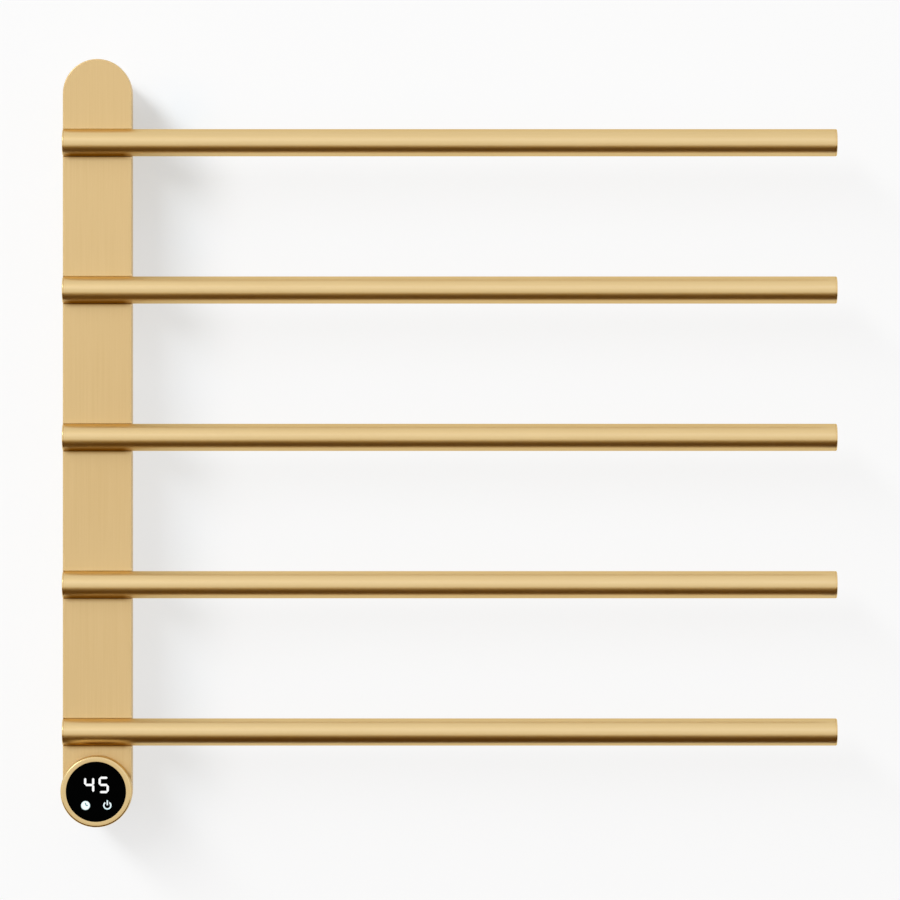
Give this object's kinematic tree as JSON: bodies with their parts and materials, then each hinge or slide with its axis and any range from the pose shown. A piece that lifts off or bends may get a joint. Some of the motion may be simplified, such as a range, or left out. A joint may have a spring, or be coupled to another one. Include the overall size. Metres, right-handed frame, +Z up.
{
  "type": "electric heated towel rail",
  "caption": "Wall-hung electric heated towel rail: round bars cantilevered to one side of a slim round-ended column, with a round control dial and lit glass display at its foot.",
  "frame": {"origin": "centre of the four wall fixing holes, on the wall plane, halfway up the column", "axes": "+X along the bars from the column to their free ends, +Y into the wall, +Z up"},
  "size_m": [0.6007, 0.075, 0.5947],
  "materials": {
    "column_gold": "satin brushed up the column, gold anodised",
    "bar_gold": "satin brushed along the bar, gold coated",
    "ring_gold": "turned satin, gold anodised",
    "zinc_steel": "zinc plated, dull",
    "screw_steel": "plated, semi-bright",
    "element_silicone": "matt silicone sheath",
    "black_rubber": "matt",
    "black_plastic": "fine moulded texture",
    "white_nylon": "moulded, slightly translucent look",
    "blue_plastic": "moulded",
    "yellow_plastic": "moulded",
    "circuit_board": "solder resist over glass fibre",
    "fuse_glass": "glass tube with plated ferrules",
    "brown_wire": "smooth insulation",
    "earth_wire": "smooth insulation with a yellow stripe",
    "magnet": "bonded ferrite",
    "black_glass": "polished, printed black behind",
    "lit_white": "lit window",
    "lit_icon": "lit window, faintly cool at its rim",
    "lit_teal": "dim window",
    "ribbon_white": "flat cable"
  },
  "bodies": {
    "rail": {"column_front": "column_gold", "column_housing": "column_gold", "wall_bracket": "zinc_steel", "hanger_rods": "zinc_steel", "lock_screw": "screw_steel", "housing_screws": "screw_steel", "towel_bar_1": "bar_gold", "towel_bar_2": "bar_gold", "towel_bar_3": "bar_gold", "towel_bar_4": "bar_gold", "towel_bar_5": "bar_gold", "inner_caps": "bar_gold", "outer_caps": "bar_gold", "heating_element_1": "element_silicone", "heating_element_2": "element_silicone", "heating_element_3": "element_silicone", "heating_element_4": "element_silicone", "heating_element_5": "element_silicone", "nut_blocks": "zinc_steel", "bar_screws": "screw_steel", "lead_grommets": "black_rubber", "splice_blocks": "white_nylon", "heater_loom": "black_rubber", "loom_clips": "white_nylon", "power_board": "circuit_board", "power_module": "black_plastic", "relay": "blue_plastic", "filter_capacitor": "yellow_plastic", "fuse": "fuse_glass", "board_connectors": "white_nylon", "board_screws": "screw_steel", "terminal_block": "white_nylon", "terminal_screws": "screw_steel", "thermal_cutout": "zinc_steel", "supply_leads": "brown_wire", "earth_lead": "earth_wire", "earth_screw": "screw_steel", "temperature_sensor": "black_plastic", "supply_grommet": "black_rubber", "pod_core": "black_plastic", "pod_screws": "screw_steel", "dial_retainer": "zinc_steel", "detent_plunger": "white_nylon", "detent_spring": "zinc_steel", "glass_lens": "black_glass", "lens_gasket": "black_rubber", "display_board": "circuit_board", "display_module": "black_plastic", "hall_sensors": "black_plastic", "touch_pads": "black_rubber", "display_digits": "lit_white", "timer_icon": "lit_icon", "timer_hands": "lit_teal", "power_icon": "lit_icon", "display_ribbon": "ribbon_white"},
    "dial": {"dial_ring": "ring_gold", "dial_carrier": "black_plastic", "magnet_ring": "magnet"}
  },
  "joints": [
    {"name": "dial_turn", "type": "hinge", "parent": "rail", "child": "dial", "pos_m": [0, -0.068, -0.27025], "axis": [0, 1, 0], "continuous": true}
  ]
}
